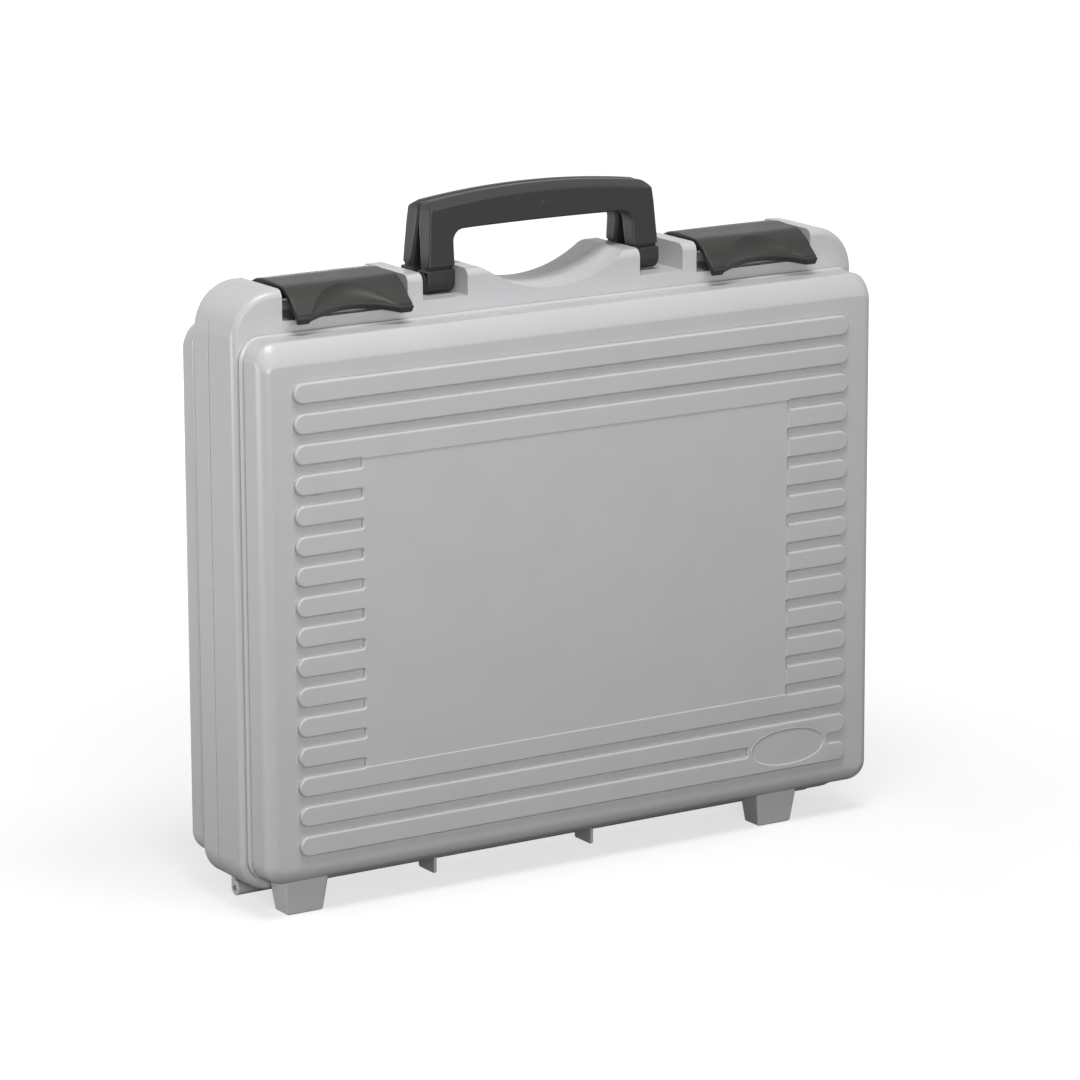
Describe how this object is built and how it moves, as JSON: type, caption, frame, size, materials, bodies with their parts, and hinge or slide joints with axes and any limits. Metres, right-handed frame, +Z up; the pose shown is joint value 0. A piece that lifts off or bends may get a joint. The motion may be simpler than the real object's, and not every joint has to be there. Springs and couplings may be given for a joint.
{
  "type": "transit case",
  "caption": "Hard-shell transit case with ribbed faces, folding twin carrying handle, two flip-up latches and a knuckle hinge along the bottom.",
  "frame": {"origin": "on the ground under the middle of the closed case's bounding box, at the bottoms of its feet", "axes": "+X to the right seen from the front, -Y out of the front face, +Z up with the case standing on its feet"},
  "size_m": [0.388, 0.0932, 0.367],
  "materials": {
    "shell": "satin moulded, fine grain",
    "handle": "satin moulded",
    "latch": "satin moulded",
    "pin": "drawn wire"
  },
  "bodies": {
    "rear_half": {"rear_shell": "shell", "hinge_pin": "pin", "left_latch_pin": "pin", "right_latch_pin": "pin"},
    "front_half": {"front_shell": "shell"},
    "front_grip": {"front_handle": "handle"},
    "rear_grip": {"rear_handle": "handle"},
    "left_catch": {"left_latch": "latch"},
    "right_catch": {"right_latch": "latch"}
  },
  "joints": [
    {"name": "lid_hinge", "type": "hinge", "parent": "rear_half", "child": "front_half", "pos_m": [0, 0.007, 0.0053], "axis": [1, 0, 0], "range_deg": [0, 170]},
    {"name": "front_handle_pivot", "type": "hinge", "parent": "front_half", "child": "front_grip", "pos_m": [0, -0.0048, 0.3213], "axis": [1, 0, 0], "range_deg": [0, 90]},
    {"name": "rear_handle_pivot", "type": "hinge", "parent": "rear_half", "child": "rear_grip", "pos_m": [0, 0.0106, 0.3213], "axis": [-1, 0, 0], "range_deg": [0, 90]},
    {"name": "left_latch_pivot", "type": "hinge", "parent": "rear_half", "child": "left_catch", "pos_m": [-0.128, 0.0135, 0.323], "axis": [-1, 0, 0], "range_deg": [0, 105]},
    {"name": "right_latch_pivot", "type": "hinge", "parent": "rear_half", "child": "right_catch", "pos_m": [0.128, 0.0135, 0.323], "axis": [-1, 0, 0], "range_deg": [0, 105]}
  ]
}
